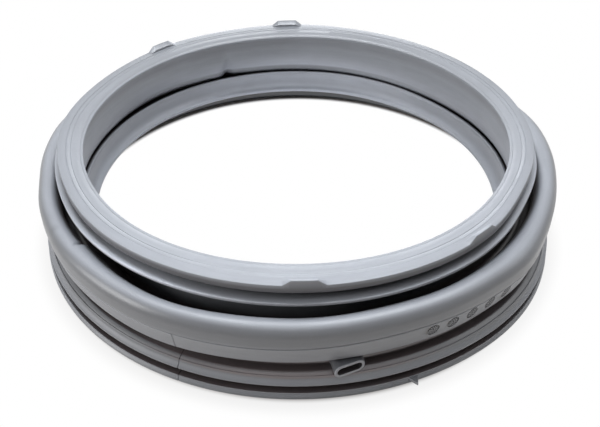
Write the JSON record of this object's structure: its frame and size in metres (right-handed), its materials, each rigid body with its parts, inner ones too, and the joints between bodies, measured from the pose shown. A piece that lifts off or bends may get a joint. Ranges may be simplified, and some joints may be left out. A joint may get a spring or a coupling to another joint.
{
  "type": "washing machine door seal",
  "caption": "Round moulded rubber door seal with a flat front lip, a panel groove, a rolled bellows fold, a clamp groove and a small drain spout.",
  "frame": {"origin": "centre of the tub face, on the ring's axis", "axes": "+Z along the ring's axis, from the tub face to the front lip; -Y towards the drain spout"},
  "size_m": [0.39, 0.39, 0.082],
  "materials": {
    "rubber": "satin"
  },
  "bodies": {
    "root": {"door_seal": "rubber"}
  },
  "joints": []
}
